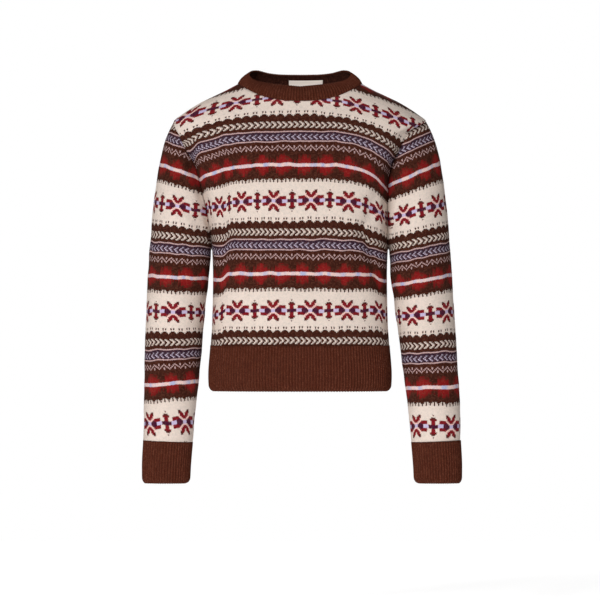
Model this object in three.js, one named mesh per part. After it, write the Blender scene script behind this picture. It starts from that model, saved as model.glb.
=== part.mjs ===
import * as THREE from 'three';

// A crew neck jumper in Fair Isle knitting, filled out as it is worn, with nobody in it.
// Millimetres. X runs across with the wearer's left at +X, the front faces -Y and Z is up.
// The origin is the middle of the neck, level with the points where shoulder seams meet neckband.

// The cloth: a two-colour knit with floats behind it, and a heavier 1 by 1 rib.
const CLOTH = 2.5;
const RIB_INSIDE = 2.3;
const RIB_RAISED = 0.7;
const RIB_SUNK = 0.4;
const RIB_PITCH = 4.85;
const LABEL = 0.8;
const SEAM_GAP = 0.3;

// Heights of the seams' corners, and how far the neckline dips between the neck points.
const NECK_POINT = 2;
const SHOULDER_POINT = -62;
const ARMPIT = -277;
const WELT_TOP = -437;
const FRONT_NECK_DIP = 31;
const BACK_NECK_DIP = 8;
const NECKLINE_ROUND = 2.5;

// The armholes' reach forward and back of the side seam at their middle.
const FRONT = -1;
const BACK = 1;
const ARMHOLE_DEPTH = { [FRONT]: 41, [BACK]: 44 };

// How many facets: columns across a panel, rows up an armhole, ribs round the neck.
const PANEL_COLUMNS = 24;
const ARMHOLE_ROWS = 12;
const NECK_RIBS = 114;

// The body's sections. half is from the middle to the side seam, the armhole or the shoulder
// seam at that height; front and back are its depths; square is the section's exponent.
const BODY = [
  { z: -437, half: 150, front: 85, back: 81, square: 2.7 },
  { z: -400, half: 147.5, front: 88, back: 82, square: 2.7 },
  { z: -321, half: 146, front: 93, back: 85, square: 2.7 },
  { z: -277, half: 147.5, front: 96, back: 88, square: 2.6 },
  { z: -220, half: 154.6, front: 97, back: 92, square: 2.6 },
  { z: -189, half: 162, front: 96, back: 94, square: 2.6 },
  { z: -155, half: 170, front: 93, back: 95, square: 2.6 },
  { z: -131, half: 178, front: 90, back: 94, square: 2.6 },
  { z: -112, half: 190, front: 86, back: 92, square: 2.6 },
  { z: -86, half: 202, front: 80, back: 88, square: 2.6 },
  { z: -62, half: 212, front: 73, back: 83, square: 2.55 },
  { z: -48.7, half: 197, front: 68, back: 80, square: 2.5 },
  { z: -38.6, half: 182, front: 63, back: 77.5, square: 2.4 },
  { z: -28.6, half: 165, front: 59, back: 75.5, square: 2.3 },
  { z: -18.5, half: 144, front: 55, back: 74, square: 2.2 },
  { z: -8.4, half: 123, front: 52, back: 73, square: 2.15 },
  { z: 2, half: 104, front: 49, back: 72, square: 2.1 },
];

// Where the panels' rows of facets meet the side seam and the shoulder seam.
const SIDE_ROWS = [-437, -400, -360, -320, -298, -277];
const SHOULDER_ROWS = [-54, -45, -35, -24, -11, 2];

// The soft troughs that run down from the armpits where the cloth turns to the side.
const FOLDS = [
  { side: FRONT, x: -117, z: -165, toX: -121, toZ: -215, width: 11, depth: 4 },
  { side: FRONT, x: -121, z: -215, toX: -130, toZ: -350, width: 12, depth: 6 },
  { side: FRONT, x: 138, z: -185, toX: 106, toZ: -246, width: 12, depth: 3 },
  { side: FRONT, x: 106, z: -240, toX: 132, toZ: -350, width: 12, depth: 6 },
  { side: BACK, x: -116, z: -175, toX: -130, toZ: -340, width: 12, depth: 6 },
  { side: BACK, x: 122, z: -190, toX: 128, toZ: -355, width: 13, depth: 5 },
  { side: BACK, x: -60, z: -395, toX: 70, toZ: -388, width: 15, depth: 3 },
];

// The welt below the panels, each row a section as the body's are.
const WELT = [
  { z: WELT_TOP - SEAM_GAP, half: 150, front: 85, back: 81, square: 2.7 },
  { z: -488, half: 153.5, front: 85, back: 80, square: 2.7 },
  { z: -513.5, half: 148, front: 80, back: 76, square: 2.7 },
];

// The left sleeve's rings fan out from the armhole. Each is an oval between a point on the
// outside of the arm and one on the inside, half is its half depth, and middle its place in Y.
// kept is how much of the armhole's own outline, which isn't an oval, is left in the ring.
const SLEEVE = [
  { outX: 212, outZ: -62, inX: 147.5, inZ: -277, half: 42.5, middle: 1.5, kept: 1 },
  { outX: 219, outZ: -75, inX: 151.7, inZ: -275.5, half: 47, middle: 1, kept: 0.72 },
  { outX: 226, outZ: -92, inX: 153.4, inZ: -277, half: 51, middle: 1, kept: 0.45 },
  { outX: 233.5, outZ: -119, inX: 154, inZ: -282, half: 55, middle: 1, kept: 0.22 },
  { outX: 240, outZ: -156, inX: 154, inZ: -290, half: 58, middle: 0, kept: 0.08 },
  { outX: 246.5, outZ: -205, inX: 154, inZ: -304, half: 59, middle: 0, kept: 0 },
  { outX: 251, outZ: -255, inX: 154.5, inZ: -330, half: 58, middle: -1, kept: 0 },
  { outX: 254.5, outZ: -305, inX: 158, inZ: -362, half: 56.5, middle: -2, kept: 0 },
  { outX: 257.5, outZ: -360, inX: 162, inZ: -402, half: 54, middle: -3, kept: 0 },
  { outX: 260, outZ: -415, inX: 167, inZ: -445, half: 50.5, middle: -5, kept: 0 },
  { outX: 263, outZ: -475, inX: 172.5, inZ: -495, half: 46.5, middle: -7, kept: 0 },
  { outX: 265, outZ: -540, inX: 179, inZ: -550, half: 42, middle: -10, kept: 0 },
  { outX: 266, outZ: -598, inX: 183.5, inZ: -602, half: 38, middle: -12, kept: 0 },
];

// The cuff's rings, in the same columns.
const CUFF = [
  { outX: 266, outZ: -598.3, inX: 183.5, inZ: -602.3, half: 38, middle: -12 },
  { outX: 268, outZ: -640, inX: 187, inZ: -642, half: 35, middle: -13 },
  { outX: 264, outZ: -668, inX: 194, inZ: -668, half: 30, middle: -13 },
];

// The neckband leans in from the neckline. turn goes round it in degrees from the front, z is
// the height of its upper edge there.
const NECKBAND_TOP = [
  { turn: 0, z: -4 },
  { turn: 34, z: 1 },
  { turn: 47, z: 3.7 },
  { turn: 66, z: 8.5 },
  { turn: 78, z: 14 },
  { turn: 90, z: 19 },
  { turn: 112, z: 25.5 },
  { turn: 122, z: 26.5 },
  { turn: 144, z: 22 },
  { turn: 160, z: 20.3 },
  { turn: 180, z: 20 },
];
const NECKBAND_ROWS = [0, 0.5, 0.88, 1];
const NECKBAND_NARROWS = 0.82;
const NECKBAND_SHALLOWS = 0.78;
const NECKBAND_MIDDLE = 1.7;
const NECKBAND_BULGE = 3;

// The label lies on the neckband's inside, between these shares of the band's height.
const LABEL_REACH = 31;
const LABEL_MIDDLE = 10;
const LABEL_FROM = 0.1;
const LABEL_TO = 0.62;

// A table's named column at one place, by a smooth curve that never overshoots its rows.
function along(table, key, place, column) {
  const last = table.length - 1;
  const at = Math.min(Math.max(place, table[0][key]), table[last][key]);
  let i = 0;
  while (i < last - 1 && at > table[i + 1][key]) i += 1;
  const span = (k) => table[k + 1][key] - table[k][key];
  const slope = (k) => (table[k + 1][column] - table[k][column]) / span(k);
  const tangent = (k) => {
    if (k === 0) return slope(0);
    if (k === last) return slope(last - 1);
    const before = slope(k - 1);
    const after = slope(k);
    if (before * after <= 0) return 0;
    return (2 * before * after) / (before + after);
  };
  const t = (at - table[i][key]) / span(i);
  const rise = table[i + 1][column] - table[i][column];
  const start = tangent(i) * span(i);
  const end = tangent(i + 1) * span(i);
  return table[i][column] + start * t + (3 * rise - 2 * start - end) * t * t
    + (start + end - 2 * rise) * t * t * t;
}

// How far an armhole's edge stands forward or back of the side seam at a height.
function armholeOpen(z, side) {
  const middle = (SHOULDER_POINT + ARMPIT) / 2;
  const reach = (SHOULDER_POINT - ARMPIT) / 2;
  const from = Math.min(1, Math.abs(z - middle) / reach);
  return ARMHOLE_DEPTH[side] * Math.sqrt(1 - from * from);
}

// How deep the folds press the cloth in at a place on one side.
function foldDepth(x, z, side) {
  let deep = 0;
  for (const fold of FOLDS) {
    if (fold.side !== side) continue;
    const run = new THREE.Vector2(fold.toX - fold.x, fold.toZ - fold.z);
    const here = new THREE.Vector2(x - fold.x, z - fold.z);
    const share = Math.min(1, Math.max(0, here.dot(run) / run.lengthSq()));
    const off = here.distanceTo(run.clone().multiplyScalar(share));
    const fade = Math.sin(Math.PI * (0.15 + 0.7 * share));
    deep += fold.depth * fade * Math.exp(-((off / fold.width) ** 2));
  }
  return deep;
}

// The body's outer surface at a place on the front or the back.
function bodyPoint(x, z, side) {
  const n = along(BODY, 'z', z, 'square');
  const depth = along(BODY, 'z', z, side === FRONT ? 'front' : 'back');
  const half = along(BODY, 'z', z, 'half');
  const full = half / (1 - (armholeOpen(z, side) / depth) ** n) ** (1 / n);
  const across = Math.min(1, Math.abs(x) / full);
  const flat = Math.max(0, 1 - (Math.abs(x) / half) ** 8);
  const y = depth * (1 - across ** n) ** (1 / n) - foldDepth(x, z, side) * flat;
  return new THREE.Vector3(x, side * y, z);
}

// The heights at which a panel's rows of facets meet its side edge, from the welt to the neck.
function panelHeights() {
  const middle = (SHOULDER_POINT + ARMPIT) / 2;
  const reach = (SHOULDER_POINT - ARMPIT) / 2;
  const armhole = [];
  for (let k = 1; k <= ARMHOLE_ROWS; k += 1) {
    armhole.push(middle - reach * Math.cos((Math.PI * k) / ARMHOLE_ROWS));
  }
  return [...SIDE_ROWS, ...armhole, ...SHOULDER_ROWS];
}

const HEIGHTS = panelHeights();
const ARMPIT_ROW = SIDE_ROWS.length - 1;
const SHOULDER_ROW = ARMPIT_ROW + ARMHOLE_ROWS;
const NECK_ROW = HEIGHTS.length - 1;

// A panel's outer surface as rows of points from the wearer's right to the left. Above the
// armpit the rows dip more and more in the middle, and the last one is the neckline.
function panelSurface(side) {
  const dip = side === FRONT ? FRONT_NECK_DIP : BACK_NECK_DIP;
  return HEIGHTS.map((edge) => {
    const n = along(BODY, 'z', edge, 'square');
    const depth = along(BODY, 'z', edge, side === FRONT ? 'front' : 'back');
    const half = along(BODY, 'z', edge, 'half');
    const turn = Math.acos((armholeOpen(edge, side) / depth) ** (n / 2));
    const dips = (dip * Math.max(0, edge - ARMPIT)) / (NECK_POINT - ARMPIT);
    const row = [];
    for (let c = 0; c <= PANEL_COLUMNS; c += 1) {
      const s = (2 * c) / PANEL_COLUMNS - 1;
      const g = (Math.sin(Math.abs(s) * turn) / Math.sin(turn)) ** (2 / n);
      const z = edge - dips * (1 - g ** NECKLINE_ROUND);
      const point = bodyPoint(Math.sign(s) * g * half, z, side);
      if (c === 0 || c === PANEL_COLUMNS) point.y = side * armholeOpen(edge, side);
      row.push(point);
    }
    return row;
  });
}

// The directions square to a surface of rows and columns, turned away from its middle line.
function surfaceNormals(rows, round, outward) {
  return rows.map((row, r) => row.map((point, c) => {
    const count = row.length;
    const right = round ? row[(c + 1) % count] : row[Math.min(c + 1, count - 1)];
    const left = round ? row[(c + count - 1) % count] : row[Math.max(c - 1, 0)];
    const up = rows[Math.min(r + 1, rows.length - 1)][c];
    const down = rows[Math.max(r - 1, 0)][c];
    const across = right.clone().sub(left);
    return across.cross(up.clone().sub(down)).normalize().multiplyScalar(outward);
  }));
}

// One closed wall from its outer and inner points. Both have the same rows, and a ribbed wall
// has two outer columns to each inner one. Ends are closed, and sides too unless it goes round.
function wallGeometry(outer, inner, round) {
  const outCount = outer[0].length;
  const inCount = inner[0].length;
  const spans = round ? inCount : inCount - 1;
  const each = round ? outCount / inCount : (outCount - 1) / (inCount - 1);
  const points = [...outer.flat(), ...inner.flat()];
  const out = (r, c) => r * outCount + (c % outCount);
  const into = (r, c) => outer.length * outCount + r * inCount + (c % inCount);
  const faces = [];
  const quad = (a, b, c, d) => faces.push([a, b, c], [a, c, d]);
  const lastRow = outer.length - 1;
  for (let r = 0; r < lastRow; r += 1) {
    for (let c = 0; c < spans * each; c += 1) {
      quad(out(r, c), out(r, c + 1), out(r + 1, c + 1), out(r + 1, c));
    }
    for (let c = 0; c < spans; c += 1) {
      quad(into(r, c), into(r + 1, c), into(r + 1, c + 1), into(r, c + 1));
    }
    if (!round) {
      quad(out(r, 0), out(r + 1, 0), into(r + 1, 0), into(r, 0));
      const end = spans * each;
      quad(out(r, end), into(r, spans), into(r + 1, spans), out(r + 1, end));
    }
  }
  for (let c = 0; c < spans; c += 1) {
    const turnAt = Math.ceil(each / 2);
    for (let k = 0; k < each; k += 1) {
      const o = c * each + k;
      const low = into(0, k < turnAt ? c : c + 1);
      const high = into(lastRow, k < turnAt ? c : c + 1);
      faces.push([out(0, o + 1), out(0, o), low]);
      faces.push([out(lastRow, o), out(lastRow, o + 1), high]);
    }
    const meet = c * each + turnAt;
    faces.push([out(0, meet), into(0, c), into(0, c + 1)]);
    faces.push([out(lastRow, meet), into(lastRow, c + 1), into(lastRow, c)]);
  }
  let volume = 0;
  for (const [a, b, c] of faces) {
    volume += points[a].dot(points[b].clone().cross(points[c]));
  }
  if (volume < 0) faces.forEach((face) => face.reverse());
  const geometry = new THREE.BufferGeometry().setFromPoints(points);
  geometry.setIndex(faces.flat());
  geometry.computeVertexNormals();
  return geometry;
}

// A seam's frames: through is the way into the cloth that both pieces share there, and across
// runs along the cloth, square to the seam, towards the piece that the hints point into.
function seamFrames(points, normals, hints) {
  const count = points.length;
  return points.map((point, k) => {
    const run = points[(k + 1) % count].clone().sub(points[(k + count - 1) % count]).normalize();
    const through = normals[k].reduce((sum, n) => sum.sub(n), new THREE.Vector3());
    through.addScaledVector(run, -through.dot(run)).normalize();
    const across = run.clone().cross(through);
    if (across.dot(hints[k]) < 0) across.negate();
    return { point, through, across };
  });
}

// The left armhole's outline, from the shoulder point down the front and up the back.
function armholeOutline() {
  const outline = [];
  const middle = (SHOULDER_POINT + ARMPIT) / 2;
  const reach = (SHOULDER_POINT - ARMPIT) / 2;
  for (let k = 0; k < 2 * ARMHOLE_ROWS; k += 1) {
    const z = middle + reach * Math.cos((Math.PI * k) / ARMHOLE_ROWS);
    const side = k < ARMHOLE_ROWS ? FRONT : BACK;
    outline.push(new THREE.Vector3(along(BODY, 'z', z, 'half'), side * armholeOpen(z, side), z));
  }
  return outline;
}

// One ring of a sleeve or cuff, in the armhole's order of turns.
function armRing(ring, turns) {
  const out = new THREE.Vector3(ring.outX, ring.middle, ring.outZ);
  const into = new THREE.Vector3(ring.inX, ring.middle, ring.inZ);
  const centre = out.clone().add(into).multiplyScalar(0.5);
  const arm = out.sub(into).multiplyScalar(0.5);
  return turns.map((turn) => {
    const point = centre.clone().addScaledVector(arm, Math.cos(turn));
    point.y -= ring.half * Math.sin(turn);
    return point;
  });
}

// The left sleeve's outer surface: the armhole's outline first, then rings that grow oval.
function sleeveSurface() {
  const outline = armholeOutline();
  const turns = outline.map((point, k) => (Math.PI * k) / ARMHOLE_ROWS);
  const oval = armRing(SLEEVE[0], turns);
  return SLEEVE.map((ring, r) => armRing(ring, turns).map((point, k) => (
    r === 0 ? outline[k] : point.addScaledVector(outline[k].clone().sub(oval[k]), ring.kept)
  )));
}

// Turns round an oval or half oval, the same length of cloth apart.
function evenTurns(pointAt, from, to, count) {
  const steps = 720;
  const lengths = [0];
  let before = pointAt(from);
  for (let k = 1; k <= steps; k += 1) {
    const here = pointAt(from + ((to - from) * k) / steps);
    lengths.push(lengths[k - 1] + here.distanceTo(before));
    before = here;
  }
  const turns = [];
  let k = 0;
  for (let c = 0; c <= count; c += 1) {
    const want = (lengths[steps] * c) / count;
    while (k < steps - 1 && lengths[k + 1] < want) k += 1;
    const share = (want - lengths[k]) / (lengths[k + 1] - lengths[k]);
    turns.push(from + ((to - from) * (k + share)) / steps);
  }
  return { turns, length: lengths[steps] };
}

// Rib walls: every second outer column stands out as a knit column, and the inside is plain.
function ribbedWall(surface, normals, round) {
  const outer = surface.map((row, r) => row.map((point, c) => (
    point.clone().addScaledVector(normals[r][c], c % 2 ? RIB_RAISED : -RIB_SUNK)
  )));
  const inner = surface.map((row, r) => row
    .map((point, c) => point.clone().addScaledVector(normals[r][c], -RIB_INSIDE))
    .filter((point, c) => c % 2 === 0));
  return { outer, inner, geometry: wallGeometry(outer, inner, round) };
}

// A row's directions laid flat in the plane of that row, so that two rows meet face to face.
function flatten(directions, axis) {
  return directions.map((n) => n.clone().addScaledVector(axis, -n.dot(axis)).normalize());
}

const UP = new THREE.Vector3(0, 0, 1);

function mirrored(rows) {
  return rows.map((row) => row.map((p) => new THREE.Vector3(-p.x, p.y, p.z)));
}

const front = panelSurface(FRONT);
const back = panelSurface(BACK);
const frontNormals = surfaceNormals(front, false, 1);
const backNormals = surfaceNormals(back, false, -1);
const sleeve = sleeveSurface();
const sleeveNormals = surfaceNormals(sleeve, true, 1);

// The left armhole's seam. A panel's row on it is found from the outline's count of turns.
const armSeam = seamFrames(
  sleeve[0],
  sleeve[0].map((point, k) => {
    const row = k < ARMHOLE_ROWS ? SHOULDER_ROW - k : SHOULDER_ROW - (2 * ARMHOLE_ROWS - k);
    const both = [frontNormals[row][PANEL_COLUMNS], backNormals[row][PANEL_COLUMNS]];
    const corner = k === 0 || k === ARMHOLE_ROWS;
    const body = k < ARMHOLE_ROWS ? [both[0]] : [both[1]];
    return [sleeveNormals[0][k], ...(corner ? both : body)];
  }),
  sleeve[1].map((point, k) => point.clone().sub(sleeve[0][k])),
);

// The neckline goes round from the right neck point along the front and home along the back.
const NECK_HALF = BODY[BODY.length - 1].half;
const neckline = [...front[NECK_ROW], ...back[NECK_ROW].slice(1, -1).reverse()];

function neckbandTop(base) {
  const lean = THREE.MathUtils.radToDeg(Math.asin(Math.min(1, Math.abs(base.x) / NECK_HALF)));
  const turn = base.y < 0 ? lean : 180 - lean;
  const z = along(NECKBAND_TOP, 'turn', turn, 'z');
  return new THREE.Vector3(
    base.x * NECKBAND_NARROWS,
    base.y * NECKBAND_SHALLOWS + NECKBAND_MIDDLE,
    z,
  );
}

const neckSeam = seamFrames(
  neckline,
  neckline.map((point, k) => {
    const band = neckbandTop(point).sub(point).normalize();
    const next = neckline[(k + 1) % neckline.length].clone().sub(point);
    const bandNormal = next.cross(band).normalize();
    const onFront = k <= PANEL_COLUMNS;
    const c = onFront ? k : 2 * PANEL_COLUMNS - k;
    const ends = k === 0 || k === PANEL_COLUMNS;
    const both = [frontNormals[NECK_ROW][c], backNormals[NECK_ROW][c]];
    const body = onFront ? [both[0]] : [both[1]];
    return [bandNormal, ...(ends ? both : body)];
  }),
  neckline.map((point) => neckbandTop(point).sub(point)),
);

// A panel: its surface, drawn back by half a gap along each seam, and its plain inside.
function panelGeometry(side) {
  const surface = side === FRONT ? front : back;
  const normals = side === FRONT ? frontNormals : backNormals;
  const outer = [];
  const inner = [];
  surface.forEach((row, r) => {
    const outRow = [];
    const inRow = [];
    row.forEach((point, c) => {
      const shift = new THREE.Vector3();
      let through = normals[r][c].clone().negate();
      const edge = c === 0 || c === PANEL_COLUMNS;
      const mirror = new THREE.Vector3(c === 0 ? -1 : 1, 1, 1);
      if (edge && (r <= ARMPIT_ROW || r >= SHOULDER_ROW)) {
        const other = (side === FRONT ? backNormals : frontNormals)[r][c];
        through = through.sub(other);
        through.y = 0;
        through.normalize();
        shift.y += (side * SEAM_GAP) / 2;
      }
      if (edge && r >= ARMPIT_ROW && r <= SHOULDER_ROW) {
        const down = SHOULDER_ROW - r;
        const k = side === FRONT ? down : (2 * ARMHOLE_ROWS - down) % (2 * ARMHOLE_ROWS);
        through = armSeam[k].through.clone().multiply(mirror);
        shift.addScaledVector(armSeam[k].across.clone().multiply(mirror), -SEAM_GAP / 2);
      }
      if (r === NECK_ROW) {
        const k = side === FRONT ? c : (2 * PANEL_COLUMNS - c) % (2 * PANEL_COLUMNS);
        through = neckSeam[k].through.clone();
        shift.addScaledVector(neckSeam[k].across, -SEAM_GAP / 2);
      }
      if (r === 0) {
        through.z = 0;
        through.normalize();
      }
      const placed = point.clone().add(shift);
      outRow.push(placed);
      inRow.push(placed.clone().addScaledVector(through, CLOTH));
    });
    outer.push(outRow);
    inner.push(inRow);
  });
  // The back is faceted from the neck down, so that its armholes' edges split as the sleeves' do.
  return side === FRONT
    ? wallGeometry(outer, inner, false)
    : wallGeometry(outer.reverse(), inner.reverse(), false);
}

// The welt's half on one panel, in ribs the same length of cloth apart.
function weltGeometry(side) {
  const sectionPoint = (section, turn) => {
    const power = 2 / section.square;
    const depth = side === FRONT ? section.front : section.back;
    const x = Math.sign(turn) * section.half * Math.abs(Math.sin(turn)) ** power;
    const y = side * depth * Math.max(0, Math.cos(turn)) ** power;
    return new THREE.Vector3(x, y, section.z);
  };
  const quarter = Math.PI / 2;
  const first = (turn) => sectionPoint(WELT[0], turn);
  const ribs = Math.round(evenTurns(first, -quarter, quarter, 1).length / RIB_PITCH);
  const { turns } = evenTurns(first, -quarter, quarter, 2 * ribs);
  const surface = WELT.map((section) => turns.map((turn) => {
    const point = sectionPoint(section, turn);
    point.y += (side * SEAM_GAP) / 2;
    return point;
  }));
  const normals = surfaceNormals(surface, false, side).map((row) => {
    const level = flatten(row, UP);
    level[0].set(-1, 0, 0);
    level[turns.length - 1].set(1, 0, 0);
    return level;
  });
  return ribbedWall(surface.reverse(), normals.reverse(), false).geometry;
}

// The left sleeve, drawn back from the armhole's seam and level at the cuff's.
function sleeveGeometry(left) {
  const last = sleeve.length - 1;
  const cuffPlane = sleeve[last][0].clone().sub(sleeve[last][ARMHOLE_ROWS]);
  cuffPlane.cross(new THREE.Vector3(0, 1, 0)).normalize();
  const outer = sleeve.map((row, r) => row.map((point, k) => (
    r === 0 ? point.clone().addScaledVector(armSeam[k].across, SEAM_GAP / 2) : point.clone()
  )));
  const inner = outer.map((row, r) => {
    const out = r === last ? flatten(sleeveNormals[r], cuffPlane) : sleeveNormals[r];
    return row.map((point, k) => (
      r === 0
        ? point.clone().addScaledVector(armSeam[k].through, CLOTH)
        : point.clone().addScaledVector(out[k], -CLOTH)
    ));
  });
  return left
    ? wallGeometry(outer, inner, true)
    : wallGeometry(mirrored(outer), mirrored(inner), true);
}

// A cuff, in ribs the same length of cloth apart round its upper ring.
function cuffGeometry(left) {
  const pointAt = (turn) => armRing(CUFF[0], [turn])[0];
  const around = 2 * Math.PI;
  const ribs = Math.round(evenTurns(pointAt, 0, around, 1).length / RIB_PITCH);
  const { turns } = evenTurns(pointAt, 0, around, 2 * ribs);
  const surface = CUFF.map((ring) => armRing(ring, turns.slice(0, -1)));
  const normals = surfaceNormals(surface, true, 1).map((row, r) => {
    const level = surface[r][0].clone().sub(surface[r][ribs]).normalize();
    return flatten(row, level.cross(new THREE.Vector3(0, 1, 0)));
  });
  return left
    ? ribbedWall(surface, normals, true).geometry
    : ribbedWall(mirrored(surface), mirrored(normals), true).geometry;
}

// The neckband: its lower edge follows the neckline's own facets, half a gap away.
function neckbandWall() {
  const count = neckline.length;
  const lengths = [0];
  neckline.forEach((point, k) => {
    lengths.push(lengths[k] + point.distanceTo(neckline[(k + 1) % count]));
  });
  const base = [];
  let k = 0;
  for (let c = 0; c < 2 * NECK_RIBS; c += 1) {
    const want = (lengths[count] * c) / (2 * NECK_RIBS);
    while (k < count - 1 && lengths[k + 1] < want) k += 1;
    const share = (want - lengths[k]) / (lengths[k + 1] - lengths[k]);
    const near = neckSeam[k];
    const far = neckSeam[(k + 1) % count];
    const mix = (name) => near[name].clone().lerp(far[name], share);
    base.push({ point: mix('point'), through: mix('through'), across: mix('across') });
  }
  const surface = NECKBAND_ROWS.map((v) => base.map(({ point, through, across }) => {
    if (v === 0) return point.clone().addScaledVector(across, SEAM_GAP / 2);
    const placed = point.clone().lerp(neckbandTop(point), v);
    return placed.addScaledVector(through, -4 * NECKBAND_BULGE * v * (1 - v));
  }));
  const normals = surfaceNormals(surface, true, 1);
  normals[0] = base.map(({ through }) => through.clone().negate());
  return ribbedWall(surface, normals, true);
}

const neckband = neckbandWall();

// The label, from the neckband's inside points at the back, moved out by a gap.
function labelGeometry() {
  const rows = neckband.inner;
  const columns = rows[0]
    .map((point, c) => ({ point, c }))
    .filter(({ point }) => point.y > 0 && Math.abs(point.x - LABEL_MIDDLE) <= LABEL_REACH)
    .map(({ c }) => c);
  const shares = [LABEL_FROM, NECKBAND_ROWS[1], LABEL_TO];
  const surface = shares.map((v) => columns.map((c) => {
    const low = v < NECKBAND_ROWS[1] ? 0 : 1;
    const share = (v - NECKBAND_ROWS[low]) / (NECKBAND_ROWS[low + 1] - NECKBAND_ROWS[low]);
    return rows[low][c].clone().lerp(rows[low + 1][c], share);
  }));
  const normals = surfaceNormals(surface, false, 1);
  const off = (distance) => surface.map((row, r) => row.map((point, c) => (
    point.clone().addScaledVector(normals[r][c], -distance)
  )));
  return wallGeometry(off(SEAM_GAP), off(SEAM_GAP + LABEL), false);
}

const knit = new THREE.MeshStandardMaterial({ color: 0x9c6a5c, roughness: 0.95, metalness: 0 });
const brownRib = new THREE.MeshStandardMaterial({ color: 0x4d271c, roughness: 0.95, metalness: 0 });
const woven = new THREE.MeshStandardMaterial({ color: 0xbfb0a8, roughness: 0.8, metalness: 0 });

function piece(name, geometry, material) {
  const mesh = new THREE.Mesh(geometry, material);
  mesh.name = name;
  return mesh;
}

const jumper = new THREE.Group();
jumper.name = 'fair_isle_jumper';
jumper.add(
  piece('front', panelGeometry(FRONT), knit),
  piece('back', panelGeometry(BACK), knit),
  piece('sleeve_left', sleeveGeometry(true), knit),
  piece('sleeve_right', sleeveGeometry(false), knit),
  piece('neckband', neckband.geometry, brownRib),
  piece('welt_front', weltGeometry(FRONT), brownRib),
  piece('welt_back', weltGeometry(BACK), brownRib),
  piece('cuff_left', cuffGeometry(true), brownRib),
  piece('cuff_right', cuffGeometry(false), brownRib),
  piece('label', labelGeometry(), woven),
);

export default jumper;
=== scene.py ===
import math

import bmesh
import bpy
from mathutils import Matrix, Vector, noise


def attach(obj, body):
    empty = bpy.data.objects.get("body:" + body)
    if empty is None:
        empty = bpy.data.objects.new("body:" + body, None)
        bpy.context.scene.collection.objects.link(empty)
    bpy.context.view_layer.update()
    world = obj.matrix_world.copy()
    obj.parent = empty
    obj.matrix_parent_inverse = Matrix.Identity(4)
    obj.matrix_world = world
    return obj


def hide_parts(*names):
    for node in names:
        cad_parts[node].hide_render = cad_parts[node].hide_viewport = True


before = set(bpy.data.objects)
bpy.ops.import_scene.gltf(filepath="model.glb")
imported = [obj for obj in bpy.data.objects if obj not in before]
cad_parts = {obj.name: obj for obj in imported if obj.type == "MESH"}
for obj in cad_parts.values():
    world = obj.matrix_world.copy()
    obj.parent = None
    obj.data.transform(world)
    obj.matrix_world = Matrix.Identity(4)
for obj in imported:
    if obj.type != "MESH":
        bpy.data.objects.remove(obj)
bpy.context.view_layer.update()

# A crew neck jumper in stranded Fair Isle knitting, filled out as it is worn, with nobody in it.
# The shapes below are worked out in millimetres and written in metres.
MM = 0.001

# The studio. A pale floor under the hanging jumper, a bright plain surround, one large soft lamp
# high on the left and a weaker one on the right, and a long lens straight in front.
LENS_DISTANCE = 8.0
LENS_HEIGHT = -0.361
VIEW_WIDTH = 1.008
FLOOR_HEIGHT = -0.9
FLOOR_REACH = 2.6
LAMP_AIM = Vector((0, 0, -0.3))
LIGHT_ALL_ROUND = 0.09

lens = bpy.data.cameras.new("lens")
lens.sensor_width = 36
lens.lens = lens.sensor_width * LENS_DISTANCE / VIEW_WIDTH
lens.clip_end = 100
camera = bpy.data.objects.new("camera", lens)
camera.location = (0, -LENS_DISTANCE, LENS_HEIGHT)
camera.rotation_euler = (math.pi / 2, 0, 0)
bpy.context.collection.objects.link(camera)
bpy.context.scene.camera = camera
bpy.context.scene.view_settings.view_transform = "Standard"


def lamp(name, place, size, watts):
    light = bpy.data.lights.new(name, "AREA")
    light.size = size
    light.energy = watts
    made = bpy.data.objects.new(name, light)
    made.location = place
    aim = LAMP_AIM - Vector(place)
    made.rotation_euler = aim.to_track_quat("-Z", "Y").to_euler()
    bpy.context.collection.objects.link(made)


lamp("soft_lamp_left", (-2.2, -5.4, 2.0), 2.0, 345)
lamp("soft_lamp_right", (2.0, -6.2, 0.6), 2.6, 50)
lamp("soft_lamp_behind", (0.6, 6.0, 2.0), 3.0, 260)

surround = bpy.data.worlds.new("surround")
surround.use_nodes = True
air = surround.node_tree
seen = air.nodes.new("ShaderNodeLightPath")
strength = air.nodes.new("ShaderNodeMapRange")
strength.inputs["To Min"].default_value = LIGHT_ALL_ROUND
strength.inputs["To Max"].default_value = 1.0
air.links.new(strength.inputs["Value"], seen.outputs["Is Camera Ray"])
air.links.new(air.nodes["Background"].inputs["Strength"], strength.outputs["Result"])
air.nodes["Background"].inputs["Color"].default_value = (1, 1, 1, 1)
bpy.context.scene.world = surround

ground = bmesh.new()
bmesh.ops.create_grid(ground, x_segments=4, y_segments=4, size=FLOOR_REACH)
bmesh.ops.translate(ground, verts=ground.verts, vec=(0, 0, FLOOR_HEIGHT))
floor_mesh = bpy.data.meshes.new("floor")
ground.to_mesh(floor_mesh)
ground.free()
floor = bpy.data.objects.new("floor", floor_mesh)
bpy.context.collection.objects.link(floor)
paint = bpy.data.materials.new("pale_floor")
paint.use_nodes = True
finish = paint.node_tree.nodes["Principled BSDF"].inputs
finish["Base Color"].default_value = (0.93, 0.93, 0.93, 1)
finish["Roughness"].default_value = 0.9
finish["Emission Color"].default_value = (1, 1, 1, 1)
finish["Emission Strength"].default_value = 0.42
floor_mesh.materials.append(paint)


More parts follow.
